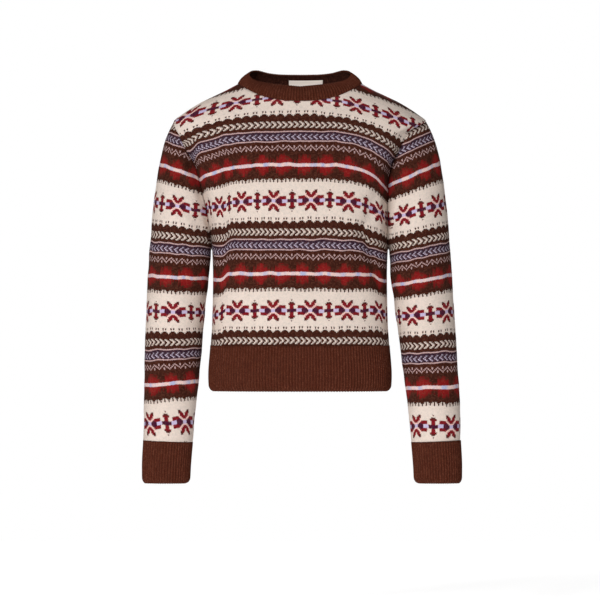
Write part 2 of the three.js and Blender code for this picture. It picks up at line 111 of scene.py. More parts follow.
# The patterned knitting: wool in two colours a row, cream and brown grounds with red, burgundy,
# dark purple and lilac figures. Rows are counted down from a row of stars, 96 to the repeat.
STITCH_REPEAT = 28
ROW_REPEAT = 96
YARNS = {
    "cream": (236, 220, 208),
    "brown": (60, 27, 18),
    "red": (140, 24, 26),
    "burgundy": (128, 20, 32),
    "bark": (86, 30, 30),
    "plum": (70, 22, 48),
    "dusk": (48, 29, 44),
    "lilac": (204, 192, 224),
    "heather": (206, 192, 212),
    "blush": (244, 204, 194),
    "rose": (206, 172, 170),
    "shell": (240, 208, 201),
    "sky": (186, 190, 222),
    "rib": (72, 31, 18),
    # A darker brown for the neckband's inside: painted shade in the hollow of the neck, on the
    # same wool as the rib.
    "rib_painted_shade": (46, 18, 12),
    # The label's tape, painted paler than the tape itself: painted light standing in for the light
    # that reaches it through the neck opening.
    "label": (248, 236, 226),
    "marl": (128, 78, 62),
}

# A quarter of the star, from its middle to the right, then half of the tree beside it. The first
# line is the middle row, and the other rows lie the same above and below.
STAR_AND_TREE = (
    "llpppppllllpppp",
    "llpppppllllbppp",
    "kkkppprrrrk..rr",
    "rrkkrrrrrr...rr",
    "rrrkkrrrrr...rr",
    "rrrrk.......rrr",
    ".rrrk.......bbb",
    ".rrrb........bb",
    "..rbb..........",
    "...bb.........b",
    "...............",
)
CHART_YARNS = {"r": "burgundy", "b": "bark", "p": "plum", "l": "lilac", "k": "blush"}
CODE_BITS = 3


def yarn(name):
    def light(byte):
        share = byte / 255
        return share / 12.92 if share <= 0.04045 else ((share + 0.055) / 1.055) ** 2.4
    return (*[light(byte) for byte in YARNS[name]], 1)


class Value:
    """A number or colour in a material. Sums on it add Math nodes."""

    def __init__(self, tree, socket=None):
        self.tree = tree
        self.socket = socket

    def node(self, kind, inputs, output=0, stops=None, **settings):
        made = self.tree.nodes.new("ShaderNode" + kind)
        for name, setting in settings.items():
            setattr(made, name, setting)
        if stops:
            ramp = made.color_ramp
            ramp.interpolation = "CONSTANT"
            while len(ramp.elements) < len(stops):
                ramp.elements.new(1)
            for element, (place, colour) in zip(ramp.elements, stops):
                element.position = place
                element.color = colour
        for key, value in inputs.items():
            if isinstance(value, Value):
                self.tree.links.new(made.inputs[key], value.socket)
            else:
                made.inputs[key].default_value = value
        return Value(self.tree, made.outputs[output])

    def sum(self, operation, *values):
        return self.node("Math", dict(enumerate(values)), operation=operation)

    def __add__(self, other):
        return self.sum("ADD", self, other)

    __radd__ = __add__

    def __sub__(self, other):
        return self.sum("SUBTRACT", self, other)

    def __rsub__(self, other):
        return self.sum("SUBTRACT", other, self)

    def __mul__(self, other):
        return self.sum("MULTIPLY", self, other)

    __rmul__ = __mul__

    def __truediv__(self, other):
        return self.sum("DIVIDE", self, other)

    def __mod__(self, other):
        return self.sum("FLOORED_MODULO", self, other)

    def __lt__(self, other):
        return self.sum("LESS_THAN", self, other)

    def __gt__(self, other):
        return self.sum("GREATER_THAN", self, other)

    def __abs__(self):
        return self.sum("ABSOLUTE", self)

    def whole(self):
        return self.sum("FLOOR", self)

    def between(self, low, high):
        return self.sum("COMPARE", self, (low + high) / 2, (high - low) / 2 + 0.5)

    def mix(self, first, second, blend="MIX"):
        inputs = {0: self, 6: first, 7: second}
        return self.node("Mix", inputs, 2, data_type="RGBA", blend_type=blend)

    def noise(self, vector, scale, detail=2):
        return self.node("TexNoise", {"Vector": vector, "Scale": scale, "Detail": detail})


WOOL_SHEEN = 0.02


def wool(name, sheen):
    """A new matt woollen material, its shader and a value to build from."""
    material = bpy.data.materials.new(name)
    material.use_nodes = True
    shader = material.node_tree.nodes["Principled BSDF"]
    shader.inputs["Roughness"].default_value = 0.92
    shader.inputs["Specular IOR Level"].default_value = 0.05
    shader.inputs["Sheen Weight"].default_value = sheen
    shader.inputs["Sheen Roughness"].default_value = 0.6
    shader.inputs["Sheen Tint"].default_value = (0.7, 0.4, 0.3, 1)
    return material, shader, Value(material.node_tree)


STITCH_LEAN = 0.6
FRAY = 1.5


def stitches(start):
    """The stitch columns and rows under a point: column, row, place across and place down.
    Stray fibres carry a stitch's colour a little way over its neighbours."""
    cloth = start.node("UVMap", {}, uv_map="courses")
    across = start.node("SeparateXYZ", {0: cloth}, 0)
    down = start.node("SeparateXYZ", {0: cloth}, 1)
    aside = abs(across % 1 - 0.5)
    leaned = down + aside * (2 * STITCH_LEAN) + (0.5 - STITCH_LEAN / 2)
    body = start.node("TexCoord", {}, 3)
    stray = (start.noise(body, 1500, 1) - 0.5) * FRAY
    column = (across + stray).whole()
    row = (leaned + (start.noise(body, 1150, 1) - 0.5) * FRAY).whole()
    return column, row, aside, leaned % 1


def star_code(column, row):
    """Which yarn of the chart a stitch has, as the place of its letter, 0 for the ground."""
    places = {letter: place + 1 for place, letter in enumerate(CHART_YARNS)}
    from_star = abs((column % STITCH_REPEAT) - STITCH_REPEAT / 2)
    from_middle = abs((row + ROW_REPEAT / 2) % ROW_REPEAT - ROW_REPEAT / 2)
    width = len(STAR_AND_TREE[0])
    most = 2 ** len(STAR_AND_TREE)
    stops = []
    for c in range(width):
        planes = [0] * CODE_BITS
        for r, line in enumerate(STAR_AND_TREE):
            code = places.get(line[c], 0)
            for plane in range(CODE_BITS):
                planes[plane] += (code >> plane & 1) << r
        stops.append((c / width, (*[bits / most for bits in planes], 1)))
    ramp = column.node("ValToRGB", {"Fac": (from_star + 0.5) / width}, stops=stops)
    code = 0
    for plane in range(CODE_BITS):
        bits = ramp.node("SeparateColor", {0: ramp}, plane) * most + 0.25
        power = ramp.sum("POWER", 2, from_middle)
        code = (bits / power).whole() % 2 * 2 ** plane + code
    return code * (from_middle < len(STAR_AND_TREE) - 0.5)


def row_colours(row, plan):
    """The yarn that each row of the repeat has, from a plan of first row and yarn."""
    stops = [(first / ROW_REPEAT, yarn(name)) for first, name in plan]
    return row.node("ValToRGB", {"Fac": (row % ROW_REPEAT + 0.5) / ROW_REPEAT}, stops=stops)


def figures(column, row, blotch, speck, streak):
    """Where the second yarn of a row shows, band by band down the repeat: dots, humps,
    herringbone, leaves between two lines, a zigzag, red clumps about a stripe, and teeth."""
    w = row % ROW_REPEAT
    dots = w.between(15, 16) * (abs(column % 6 - 1)).between(1, 1)
    from_hump = abs((column + 2) % 6 - 3)
    humps = w.between(18, 19) * (from_hump < w - 16.5)
    in_herring = (column + 1 - (2.5 - abs(w - 27.5))) % 4
    herring = w.between(25, 30) * ((in_herring < 0.5) + in_herring.between(1, 1) * 0.5)
    lines = w.between(34, 34) + w.between(43, 43)
    in_leaf = (column + (2 - abs(w - 39))) % 4
    leaf = w.between(37, 41) * ((in_leaf < 0.5) + in_leaf.between(1, 1) * 0.15)
    leaf = leaf * (w.between(37, 38) * -0.3 + 1)
    from_peak = abs(column % 8 - 4)
    zigzag = w.between(47, 51) * (w - 47 - from_peak).between(0, 0)
    high_dots = w.between(47, 48) * from_peak.between(4, 4)
    low_dots = w.between(50, 51) * from_peak.between(0, 0)
    from_stripe = abs(w - 64) - 2
    from_clump = abs(column % 16 - 8)
    flame = (8.8 - from_clump * 0.74 - from_stripe * 0.66 - streak * 2.6 - speck * 2.8) * 0.36
    red = w.between(55, 73) * flame.sum("MINIMUM", flame.sum("MAXIMUM", flame, 0), 0.9)
    stripe = w.between(63, 65)
    tooth = (column + 2) % 6
    tips = w.between(77, 77) * (abs(tooth - 3)).between(1, 1)
    teeth = w.between(78, 79) * (tooth % 3 > 0.5)
    bands = dots + humps + herring + lines + leaf + (zigzag + high_dots + low_dots) * 0.9
    edge = (tips + teeth) * 0.85
    return bands + red * (1 - stripe) + stripe * blotch + edge


def stitch_relief(aside, height):
    """How high a knit stitch stands: two rounded legs, dipping where the next row begins."""
    legs = aside.sum("SINE", aside * (2 * math.pi))
    rounding = 1 - abs(height * 2 - 1).sum("POWER", abs(height * 2 - 1), 3)
    return legs * 0.7 * rounding + rounding * 0.3


# The first and the second yarn of each row of the repeat, from the row where each begins.
GROUNDS = (
    (0, "cream"), (20, "brown"), (35, "dusk"), (43, "brown"), (63, "shell"), (66, "brown"),
    (80, "cream"),
)
SECONDS = (
    (0, "brown"), (25, "cream"), (34, "rose"), (35, "heather"), (43, "rose"), (53, "red"),
    (63, "sky"), (66, "red"), (77, "cream"),
)


MARL_SHARE = 0.36


def patterned(name, inside):
    """The patterned knitting's material. Inside, the yarns of each row change places."""
    material, shader, start = wool(name, WOOL_SHEEN)
    column, row, aside, height = stitches(start)
    cell = start.node("CombineXYZ", {0: column, 1: row, 2: 0.0})
    speck = start.node("TexWhiteNoise", {"Vector": cell}, noise_dimensions="2D")
    drift = start.node("CombineXYZ", {0: column * 0.17, 1: (row / ROW_REPEAT).whole() * 7, 2: 3.0})
    blotch = start.sum("SMOOTH_MIN", start.noise(drift, 1.0, 1) * 6 - 2.8, 1, 0.2)
    blotch = blotch.sum("SMOOTH_MAX", blotch, 0, 0.2)
    streak = start.node("TexWhiteNoise", {"W": column}, noise_dimensions="1D")
    figure = figures(column, row, blotch, speck, streak)
    code = star_code(column, row)
    chart = [(0, yarn("cream"))]
    codes = len(CHART_YARNS) + 1
    for place, letter in enumerate(CHART_YARNS):
        chart.append(((place + 0.5) / codes, yarn(CHART_YARNS[letter])))
    star = start.node("ValToRGB", {"Fac": code / codes}, stops=chart)
    ground_yarn = row_colours(row, GROUNDS)
    second_yarn = row_colours(row, SECONDS)
    if inside:
        figure = 1 - figure
    cloth = figure.mix(ground_yarn, second_yarn)
    cloth = (code > 0.5).mix(cloth, star)
    body = start.node("TexCoord", {}, 3)
    fluff = start.noise(body, 900, 3)
    marl = speck * speck * (fluff * MARL_SHARE)
    cloth = marl.mix(cloth, yarn("marl"))
    worn = start.noise(body, 260, 2)
    shade = 0.64 + speck * 0.26 + fluff * 0.26 + worn * 0.2
    relief = stitch_relief(aside, height)
    # The stitches' hollows, between the legs and where rows meet, are painted darker: painted
    # shade on top of the bump.
    shade = shade * (0.68 + relief * 0.4)
    grey = start.node("CombineColor", {0: shade, 1: shade, 2: shade})
    colour = start.node("Mix", {0: 1.0, 6: cloth, 7: grey}, 2, data_type="RGBA",
                        blend_type="MULTIPLY")
    start.tree.links.new(shader.inputs["Base Color"], colour.socket)
    bump = start.node("Bump", {"Strength": 0.7, "Distance": 0.0009,
                               "Height": relief + fluff * 0.35})
    start.tree.links.new(shader.inputs["Normal"], bump.socket)
    return material


fair_isle = patterned("fair_isle_knit", False)
fair_isle_floats = patterned("fair_isle_floats", True)


# The front. One panel of patterned knitting, cut with round armholes, sloped shoulders and a
# dipped neckline, and linked to the back, the sleeves, the neckband and the welt.
FRONT, BACK = -1, 1
WELT_TOP = -437
ARMPIT = -277
SHOULDER_POINT = -62
NECK_POINT = 2
ARMHOLE_DEPTH = {FRONT: 41, BACK: 44}
NECK_DIP = {FRONT: 31, BACK: 8}
NECKLINE_ROUND = 2.5
SEAM_GAP = 0.3
CLOTH = 2.5

# The body's sections: height, half width, depth in front, depth behind, squareness.
BODY = (
    (-437, 150, 85, 81, 2.7),
    (-400, 147.5, 88, 82, 2.7),
    (-321, 146, 93, 85, 2.7),
    (-277, 147.5, 96, 88, 2.6),
    (-220, 154.6, 97, 92, 2.6),
    (-189, 162, 96, 94, 2.6),
    (-155, 170, 93, 95, 2.6),
    (-131, 178, 90, 94, 2.5),
    (-112, 190, 86, 92, 2.4),
    (-86, 202, 80, 88, 2.28),
    (-62, 212, 73, 83, 2.2),
    (-48.7, 197, 68, 80, 2.2),
    (-38.6, 182, 63, 77.5, 2.2),
    (-28.6, 165, 59, 75.5, 2.15),
    (-18.5, 144, 55, 74, 2.1),
    (-8.4, 123, 52, 73, 2.1),
    (2, 104, 49, 72, 2.1),
)

# Troughs pressed into the cloth: side, from x and z, to x and z, width, depth. The long ones
# run down from the armpits, and the shorter ones lie slack between them.
FOLDS = (
    (FRONT, -116, -150, -121, -215, 11, 5),
    (FRONT, -121, -215, -130, -350, 11, 8),
    (FRONT, -133, -230, -139, -330, 12, 5),
    (FRONT, 143, -180, 106, -246, 11, 6),
    (FRONT, 106, -240, 134, -350, 10, 9),
    (FRONT, 128, -225, 140, -330, 16, 7),
    (FRONT, -70, -262, 20, -270, 16, 2.5),
    (FRONT, -20, -340, 80, -352, 18, 2.5),
    (FRONT, -110, -392, -30, -404, 15, 2.5),
    (BACK, -116, -175, -130, -340, 12, 8),
    (BACK, 122, -190, 128, -355, 13, 8),
    (BACK, 138, -200, 118, -262, 12, 4),
    (BACK, -50, -300, 66, -292, 18, 3),
    (BACK, -60, -395, 70, -388, 15, 4),
)

# Courses of the front and back: row and height in the middle, then on the right and on the left
# how far the row drops at 150 mm out, by which power, how much more past the fold, and where.
COURSES = (
    (-16, -3.4, 20.5, 2.2, 0, 120, 28.5, 1.96, 0, 110),
    (0, -21.4, 20.7, 1.9, 0, 120, 31.8, 1.63, 0, 110),
    (27.8, -69.4, 12.2, 3.7, 0, 120, 32, 3.3, 0, 110),
    (64, -136, 15.7, 3.4, 0, 120, 47, 4.5, 0, 110),
    (96, -195.5, 4, 2.5, 7, 121, 33, 4.5, 0, 108),
    (123.8, -248.5, 2, 2.5, 8, 121, 14, 3, 9, 110),
    (160, -317.2, 1, 2, 9, 125, 3, 2, 9, 128),
    (192, -378.5, 0, 2, 8, 130, 0, 2, 8, 136),
    (219.8, -429.1, 0, 2, 4, 131, 0, 2, 4, 138),
)
ROW_HEIGHT = 1.92
DROPS_AT = 150

# How wide a stitch is, and how far out the middle tree stands, by row.
STITCH_WIDTHS = ((0, 2.41), (25, 2.31), (64, 2.285), (96, 2.236), (192, 2.21), (230, 2.21))
TREE_MIDDLES = ((0, -5.7), (96, -14.1), (192, -15), (230, -15))

# Where the right side of the front is tucked in by the arm, and where it is spread over the
# shoulder: how many stitches are lost by a distance out, and what share of them at a height.
TUCKS = (
    (((-150, 15), (-134, 13.2), (-119, 7.4), (-98, 3.9), (-71, 2.1), (-44, 0)),
     ((-350, 0), (-300, 0.25), (-230, 1), (-150, 1), (-95, 0))),
    (((-200, -13), (-178, -10), (-144, -5), (-108, -2), (-60, 0)),
     ((-120, 0), (-75, 1), (-10, 1))),
)


def curve(table, place):
    """The other columns of a table at a place, on smooth curves that never overshoot a row."""
    last = len(table) - 1
    at = min(max(place, table[0][0]), table[last][0])
    i = 0
    while i < last - 1 and at > table[i + 1][0]:
        i += 1
    span = table[i + 1][0] - table[i][0]
    t = (at - table[i][0]) / span
    found = []
    for column in range(1, len(table[0])):
        def slope(k):
            return (table[k + 1][column] - table[k][column]) / (table[k + 1][0] - table[k][0])

        def tangent(k):
            if k in (0, last):
                return slope(min(k, last - 1))
            before, after = slope(k - 1), slope(k)
            return 2 * before * after / (before + after) if before * after > 0 else 0
        rise = table[i + 1][column] - table[i][column]
        start, end = tangent(i) * span, tangent(i + 1) * span
        found.append(table[i][column] + start * t + (3 * rise - 2 * start - end) * t * t
                     + (start + end - 2 * rise) * t ** 3)
    return found


SECTIONS = [curve(BODY, z / 2) for z in range(2 * WELT_TOP, 2 * NECK_POINT + 1)]


def section(z):
    """The body's half width, depths and squareness at a height."""
    at = min(max(2 * (z - WELT_TOP), 0), len(SECTIONS) - 1.001)
    low = int(at)
    return [a + (b - a) * (at - low) for a, b in zip(SECTIONS[low], SECTIONS[low + 1])]


ARMHOLE_ROUND = 3.4
ARMHOLE_FULL = 0.4545


def armhole_open(z, side):
    """How far an armhole's edge stands forward or back of the side seam."""
    middle = (SHOULDER_POINT + ARMPIT) / 2
    reach = (SHOULDER_POINT - ARMPIT) / 2
    share = min(1, abs(z - middle) / reach)
    if z > middle:
        return ARMHOLE_DEPTH[side] * (1 - share ** ARMHOLE_ROUND) ** ARMHOLE_FULL
    return ARMHOLE_DEPTH[side] * math.sqrt(1 - share * share)


def pressed(x, z, side, folds):
    """How deep the folds press the cloth in."""
    deep = 0
    for which, from_x, from_z, to_x, to_z, width, depth in folds:
        if which == side:
            run = Vector((to_x - from_x, to_z - from_z))
            here = Vector((x - from_x, z - from_z))
            share = min(1, max(0, here.dot(run) / run.length_squared))
            off = (here - run * share).length
            if off < 3 * width:
                fade = math.sin(math.pi * (0.15 + 0.7 * share))
                deep += depth * fade * math.exp(-(off / width) ** 2)
    return deep


def slack(x, y, z, reach):
    """Soft unevenness of worn knitting, a few centimetres from rise to rise."""
    wide = noise.noise(Vector((x / 48, y / 60 + 9, z / 34)))
    fine = noise.noise(Vector((x / 21 + 5, y / 30, z / 17)))
    return reach * (wide + 0.35 * fine)


def waver(x, y, z):
    """How far a course wanders up and down along the cloth, in rows."""
    return 1.1 * noise.noise(Vector((x / 17, y / 17, z / 60 + 3)))


# How far each armhole's seam is drawn in under the sleeve, and how wide the valley is.
SEAM_VALLEY = {(FRONT, 1): 19, (FRONT, -1): 14, (BACK, 1): 9, (BACK, -1): 9}
VALLEY_WIDTH = 8
VALLEY_BEGINS = 110


def valley(z, side, hand):
    """How deep the valley along an armhole's seam is at a height."""
    share = (armhole_open(z, side) / ARMHOLE_DEPTH[side]) ** 1.5
    return SEAM_VALLEY[side, hand] * share * step(-z, VALLEY_BEGINS, 60)


# The left sleeve's head lies over the front: how far the seam is dragged in, by height.
SEAM_DRAG = ((-277, 0), (-250, 3), (-215, 9), (-193, 14), (-160, 20), (-134, 23), (-109, 25),
             (-80, 23), (-68, 10), (-62, 0))
DRAG_WIDTH = 45


def drag(z, side, hand):
    """How far the sleeve's head pulls the front's edge in at a height."""
    return curve(SEAM_DRAG, z)[0] if side == FRONT and hand == 1 else 0


def body_depth(x, z, side):
    """How far the cloth stands out from the middle plane, before its folds."""
    half, front, back, n = section(z)
    depth = front if side == FRONT else back
    full = half / (1 - (armhole_open(z, side) / depth) ** n) ** (1 / n)
    return depth * (1 - min(1, abs(x) / full) ** n) ** (1 / n)


def step(x, place, width):
    """From 0 to 1 past a place, smoothly."""
    t = min(1, max(0, (x - place) / width + 0.5))
    return t * t * (3 - 2 * t)


CLOTH_GRID = 4
GRID_HALF = 54
GRID_RISE = 114


def row_map(side):
    """The row of knitting at each crossing of a grid over a panel, followed up the cloth."""
    heights = [WELT_TOP - CLOTH_GRID + CLOTH_GRID * k for k in range(GRID_RISE)]
    grid = []
    for k in range(-GRID_HALF, GRID_HALF + 1):
        x = k * CLOTH_GRID
        lengths = [0]
        for low, high in zip(heights, heights[1:]):
            rise = body_depth(x, high, side) - body_depth(x, low, side)
            lengths.append(lengths[-1] + math.hypot(high - low, rise))
        marks = []
        for row, middle, *sides in COURSES:
            drop, power, jump, fold = sides[4:] if x > 0 and side == FRONT else sides[:4]
            z = middle - drop * (abs(x) / DROPS_AT) ** power - jump * step(abs(x), fold, 14)
            at = max(0, (z - heights[0]) / CLOTH_GRID)
            low = min(int(at), len(lengths) - 2)
            marks.append((-(lengths[low] + (lengths[low + 1] - lengths[low]) * (at - low)), row))
        rows = []
        for length in lengths:
            past = max(0, marks[0][0] + length) / ROW_HEIGHT
            under = max(0, -length - marks[-1][0]) / ROW_HEIGHT
            rows.append(curve(marks, -length)[0] - past + under)
        grid.append(rows)
    return grid


def map_row(grid, x, z):
    """The row of knitting at a place on a panel, read between the grid's crossings."""
    across = x / CLOTH_GRID + GRID_HALF
    up = (z - WELT_TOP) / CLOTH_GRID + 1
    c, r = min(int(across), 2 * GRID_HALF - 1), min(int(up), GRID_RISE - 2)
    s, t = across - c, up - r
    low = grid[c][r] * (1 - s) + grid[c + 1][r] * s
    high = grid[c][r + 1] * (1 - s) + grid[c + 1][r + 1] * s
    return low * (1 - t) + high * t


def cloth_piece(name, columns, rows, points, stitch_at, round_it, materials, thickness):
    """A sheet from a flat grid: its points, its stitches as a UV map, then its thickness."""
    sheet = bmesh.new()
    bmesh.ops.create_grid(sheet, x_segments=columns, y_segments=rows, size=0.5)
    layer = sheet.loops.layers.uv.new("courses")
    place = {}
    for vert in sheet.verts:
        place[vert] = (round((vert.co.x + 0.5) * columns), round((vert.co.y + 0.5) * rows))
        vert.co = Vector(points[place[vert][1]][place[vert][0]]) * MM
    for face in sheet.faces:
        face.smooth = True
        for loop in face.loops:
            loop[layer].uv = stitch_at[place[loop.vert][1]][place[loop.vert][0]]
    if round_it:
        bmesh.ops.remove_doubles(sheet, verts=sheet.verts, dist=0.00001)
    mesh = bpy.data.meshes.new(name)
    sheet.to_mesh(mesh)
    sheet.free()
    for material in materials:
        mesh.materials.append(material)
    made = bpy.data.objects.new(name, mesh)
    bpy.context.collection.objects.link(made)
    wall = made.modifiers.new("thickness", "SOLIDIFY")
    wall.thickness = thickness * MM
    wall.offset = -1
    wall.use_quality_normals = True
    wall.material_offset = len(materials) - 1
    wall.material_offset_rim = 0
    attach(made, "root")
    return made


PANEL_COLUMNS = 144
SIDE_ROWS = 56
ARMHOLE_ROWS = 84
SHOULDER_ROWS = 26
PANEL_ROWS = SIDE_ROWS + ARMHOLE_ROWS + SHOULDER_ROWS


def panel_heights():
    """Where rows of the mesh meet the side: even spans below, and close at the armhole's ends."""
    side = [WELT_TOP + (ARMPIT - WELT_TOP) * k / SIDE_ROWS for k in range(SIDE_ROWS)]
    middle = (SHOULDER_POINT + ARMPIT) / 2
    reach = (SHOULDER_POINT - ARMPIT) / 2
    armhole = [middle - reach * math.cos(math.pi * k / ARMHOLE_ROWS)
               for k in range(ARMHOLE_ROWS)]
    shoulder = [SHOULDER_POINT + (NECK_POINT - SHOULDER_POINT) * k / SHOULDER_ROWS
                for k in range(SHOULDER_ROWS + 1)]
    return side + armhole + shoulder


def panel(name, side):
    heights = panel_heights()
    grid = row_map(side)
    points, stitch_at = [], []
    for edge in heights:
        half, front, back, n = section(edge)
        depth = front if side == FRONT else back
        turn = math.acos((armhole_open(edge, side) / depth) ** (n / 2))
        dips = NECK_DIP[side] * max(0, edge - ARMPIT) / (NECK_POINT - ARMPIT)
        line = []
        for c in range(PANEL_COLUMNS + 1):
            s = 2 * c / PANEL_COLUMNS - 1
            g = (math.sin(abs(s) * turn) / math.sin(turn)) ** (2 / n)
            x = math.copysign(g * half, s)
            z = edge - dips * (1 - g ** NECKLINE_ROUND)
            flat = max(0, 1 - (abs(x) / half) ** 8)
            inward = pressed(x, z, side, FOLDS) - slack(x, side * 90, z, 1.3)
            deep = valley(edge, side, 1 if s > 0 else -1)
            deep *= math.exp(-((half - abs(x)) / VALLEY_WIDTH) ** 2)
            y = side * (body_depth(x, z, side) - inward * flat - deep + SEAM_GAP / 2)
            if c in (0, PANEL_COLUMNS):
                y = side * (armhole_open(edge, side) - deep + SEAM_GAP / 2)
            if s > 0:
                x -= drag(edge, side, 1) * math.exp(-((half - x) / DRAG_WIDTH) ** 2)
            line.append(Vector((x, y, z)))
        points.append(line)
        middle = PANEL_COLUMNS // 2
        across = [0] * (PANEL_COLUMNS + 1)
        for c in range(middle, PANEL_COLUMNS):
            across[c + 1] = across[c] + (line[c + 1] - line[c]).length
        for c in range(middle, 0, -1):
            across[c - 1] = across[c] - (line[c] - line[c - 1]).length
        cells = []
        for c, point in enumerate(line):
            row = map_row(grid, point.x, point.z) + waver(*point)
            width = curve(STITCH_WIDTHS, row)[0]
            tree = curve(TREE_MIDDLES, row)[0]
            column = (across[c] - tree) / width
            if side == FRONT:
                for lost, share in TUCKS:
                    column -= curve(lost, point.x)[0] * curve(share, point.z)[0]
            cells.append((column, row))
        stitch_at.append(cells)
    if side == BACK:
        points = [line[::-1] for line in points]
        stitch_at = [cells[::-1] for cells in stitch_at]
    made = cloth_piece(name, PANEL_COLUMNS, PANEL_ROWS, points, stitch_at, False,
                       [fair_isle, fair_isle_floats], CLOTH)
    return made


front = panel("front_panel", FRONT)
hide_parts("front")


# The back. The same knitting, cut higher at the neck and a little fuller over the shoulder blades.
back = panel("back_panel", BACK)
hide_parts("back")


# The sleeves. Tubes of patterned knitting, linked into the armholes and closed by a seam under
# the arm. Their rings fan out from the armhole and narrow to the cuff.
# Each ring: outer x and z, inner x and z, half depth, middle in y, and how much of the armhole's
# own outline is left in it.
SLEEVE = (
    (-62, 212, 147.5, -277, 42.5, 1.5, 1),
    (-75, 219, 149, -275.5, 47, 1, 0.72),
    (-92, 226, 149.6, -277, 51, 1, 0.45),
    (-119, 233.5, 150, -282, 55, 1, 0.22),
    (-156, 240, 150.5, -290, 58, 0, 0.08),
    (-205, 246.5, 151.5, -304, 59, 0, 0),
    (-255, 251, 153.5, -330, 58, -1, 0),
    (-305, 254.5, 158, -362, 56.5, -2, 0),
    (-360, 257.5, 162, -402, 54, -3, 0),
    (-415, 260, 167, -445, 50.5, -5, 0),
    (-475, 263, 172.5, -495, 46.5, -7, 0),
    (-540, 265, 179, -550, 42, -10, 0),
    (-596, 266, 183.5, -599, 38, -12, 0),
)

# Courses of each sleeve: row, height on its centre line, and how steeply it falls inwards.
SLEEVE_MIDDLE = ((-602, 224), (-381, 207), (-203, 198), (-62, 190))
SLEEVE_COURSES = {
    -1: ((-32, -148, 0.36), (0, -206, 0.2), (64, -323, 0.05), (96, -381, 0.03),
         (160, -500, -0.09), (192, -566, -0.04), (206.4, -598, 0)),
    1: ((-32, -149, 0.44), (0, -212, 0.27), (64, -328, 0.175), (96, -385, 0.1),
        (160, -507, 0.02), (192, -572, 0), (206, -601, 0)),
}

# Where one straight column of stitches runs down the front of each sleeve, and another down its
# back: height and distance out. On the right sleeve it is a star's middle, on the left a tree's.
# The forearms are turned a little, so the column moves one way in front and the other behind.
FRONT_LINES = {
    -1: ((-602, 193), (-566, 196.6), (-381, 213.4), (-203, 205.8), (-110, 187), (-62, 170)),
    1: ((-602, 218), (-571, 218), (-386, 216), (-213, 202), (-110, 183), (-62, 168)),
}
BACK_LINES = {
    -1: ((-602, 232), (-566, 229), (-381, 213.4), (-203, 205.8), (-110, 187), (-62, 170)),
    1: ((-602, 204), (-571, 205), (-386, 210), (-213, 202), (-110, 183), (-62, 168)),
}
SLEEVE_PLACES = {-1: STITCH_REPEAT / 2, 1: 0}
FRONT_TO_BACK = 152
OUTER_FOLD, FOLD_SPAN = -0.5, 1.8
SLEEVE_STITCH = 2.3
SLEEVE_COLUMNS = 128
SLEEVE_ROWS = 190


SWAY = 3.4
ELBOW = 450


def sway(z):
    """How far the lower sleeves hang towards the left."""
    return SWAY * step(-z, ELBOW, 240)


def arm_point(ring, turn):
    """A point of a ring, turned from the outside of the left arm round its front."""
    out_z, out_x, in_x, in_z, half, middle = ring[:6]
    reach = math.cos(turn)
    return Vector((
        (out_x + in_x) / 2 + (out_x - in_x) / 2 * reach,
        middle - half * math.sin(turn),
        (out_z + in_z) / 2 + (out_z - in_z) / 2 * reach,
    ))


def armhole_point(turn):
    """A point of the armhole's edge at the same turn, and which panel it is on."""
    z = (SHOULDER_POINT + ARMPIT) / 2 + (SHOULDER_POINT - ARMPIT) / 2 * math.cos(turn)
    side = FRONT if math.sin(turn) >= 0 else BACK
    return Vector((section(z)[0], side * armhole_open(z, side), z)), side


def course_row(courses, z, inward):
    """The row at a height, where a course falls by its slope times the way inwards."""
    marks = [(-(middle - slope * inward), row) for row, middle, slope in courses]
    past = max(0, marks[0][0] + z) / ROW_HEIGHT
    under = max(0, -z - marks[-1][0]) / ROW_HEIGHT
    return curve(marks, -z)[0] - past + under


def arc_at(face, x):
    """How far round a ring its front or back face is at a distance out."""
    k = 1
    while k < len(face) - 1 and face[k][0] > x:
        k += 1
    (outer_x, outer), (inner_x, inner) = face[k - 1], face[k]
    if x >= outer_x:
        return outer
    return outer + (inner - outer) * (outer_x - x) / (outer_x - inner_x)


SEAM_SPAN = 14


